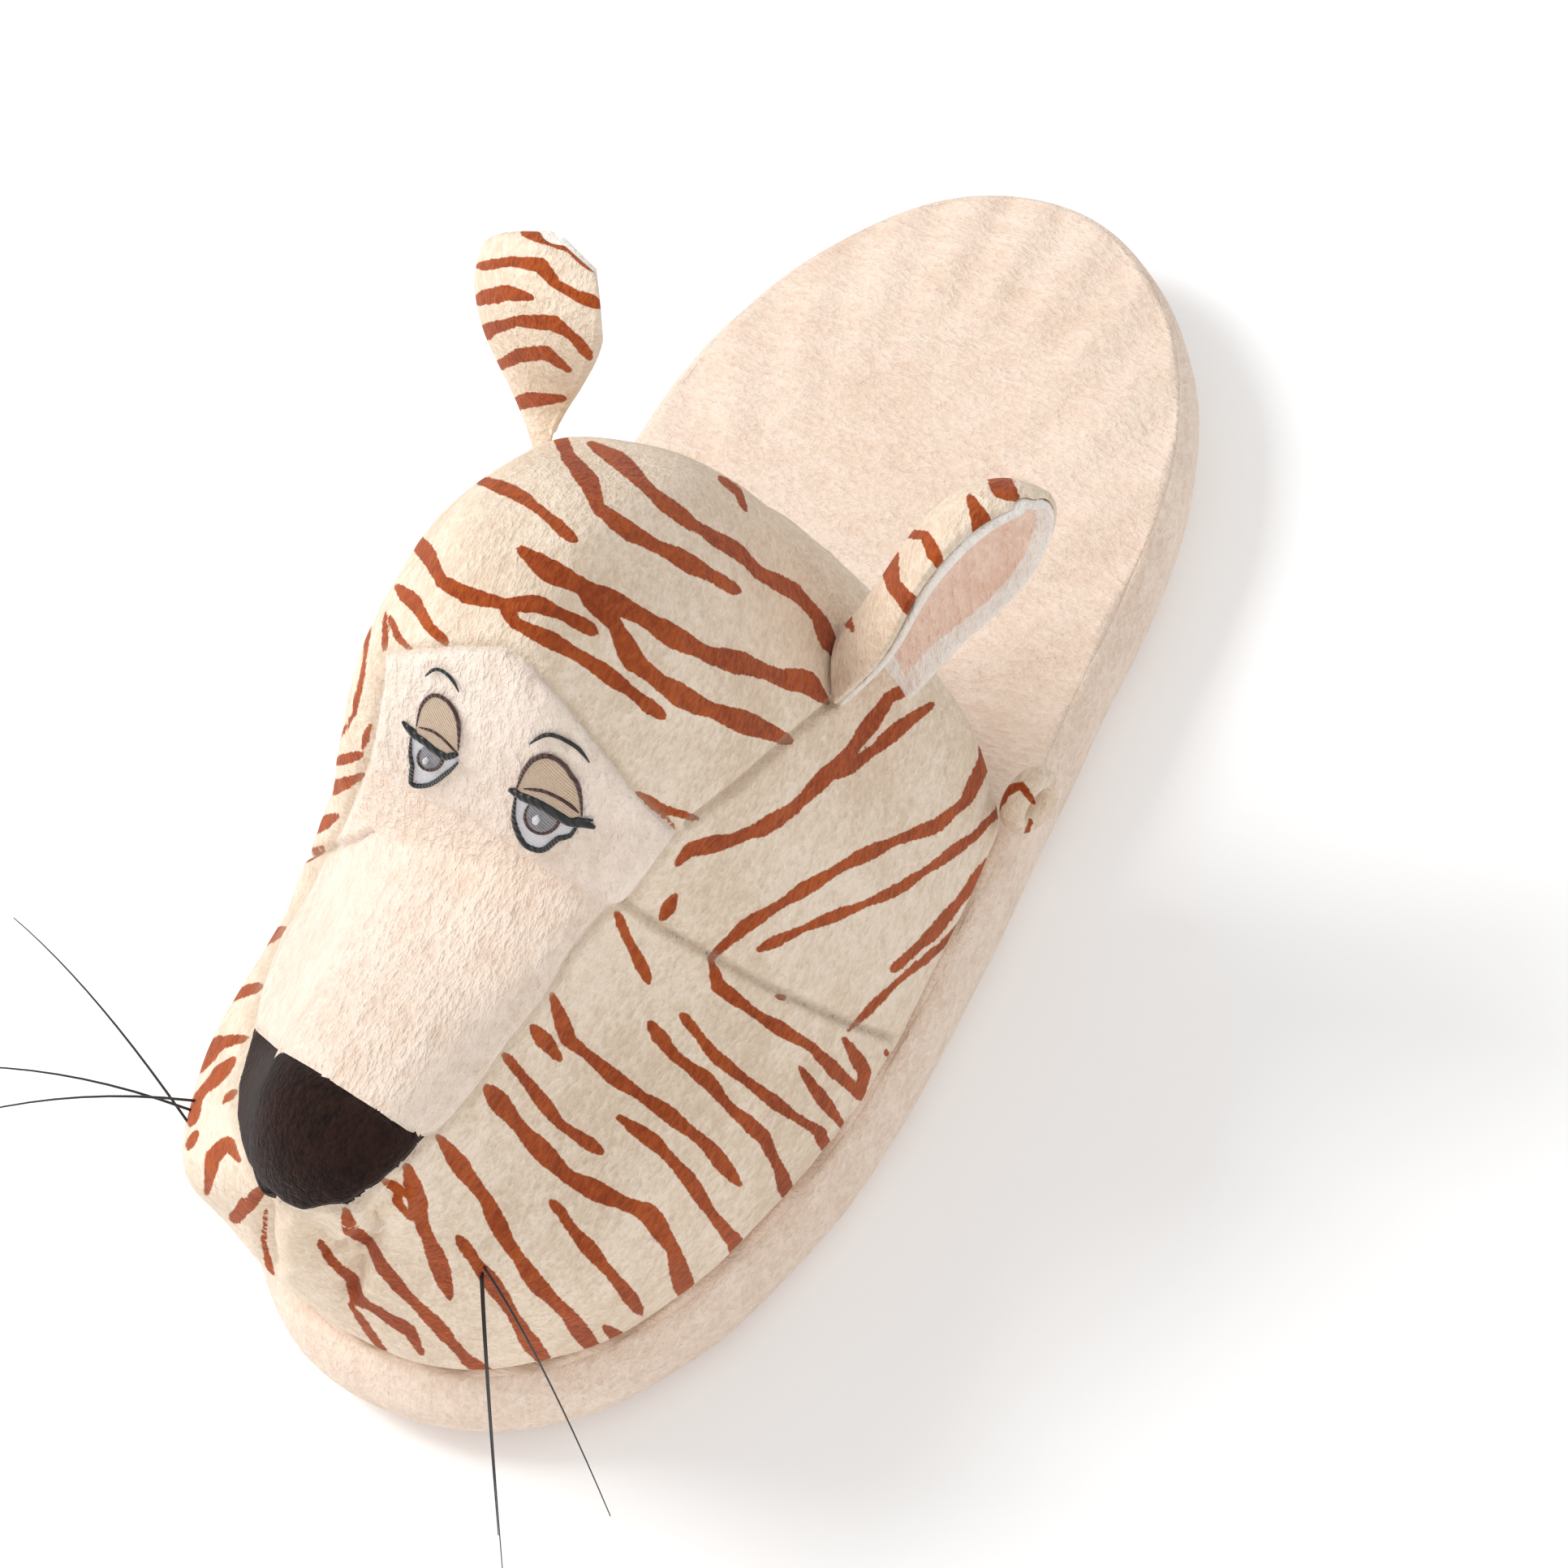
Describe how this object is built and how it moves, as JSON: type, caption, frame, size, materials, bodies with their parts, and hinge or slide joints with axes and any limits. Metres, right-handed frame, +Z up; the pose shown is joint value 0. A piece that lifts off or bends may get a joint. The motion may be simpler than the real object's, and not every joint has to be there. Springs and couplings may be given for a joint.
{
  "type": "animal slipper",
  "caption": "Open-heeled plush mule with a padded tiger's head as its upper, cupped ears, a dark nose, thread whiskers and a soft slab sole with a grip-fabric underside.",
  "frame": {"origin": "on the flat underside of the sole, at half the sole's length", "axes": "+Z up, -Y towards the toe, +Y towards the heel, +X towards the wearer's left"},
  "size_m": [0.1432, 0.3179, 0.1429],
  "materials": {
    "cream_plush": "matte",
    "tiger_plush": "matte",
    "pale_pile": "matte",
    "nose_plush": "matte",
    "grip_fabric": "satin",
    "whisker_thread": "satin"
  },
  "bodies": {
    "root": {"sole_body": "cream_plush", "outsole": "grip_fabric", "insole": "cream_plush", "upper": "tiger_plush", "eye_patch": "pale_pile", "snout_panel": "cream_plush", "nose": "nose_plush", "ear_left_back": "tiger_plush", "ear_left_lining": "cream_plush", "ear_right_back": "tiger_plush", "ear_right_lining": "cream_plush", "collar_tuck": "tiger_plush", "whisker_1": "whisker_thread", "whisker_2": "whisker_thread", "whisker_3": "whisker_thread", "whisker_4": "whisker_thread", "whisker_5": "whisker_thread", "whisker_6": "whisker_thread"}
  },
  "joints": []
}
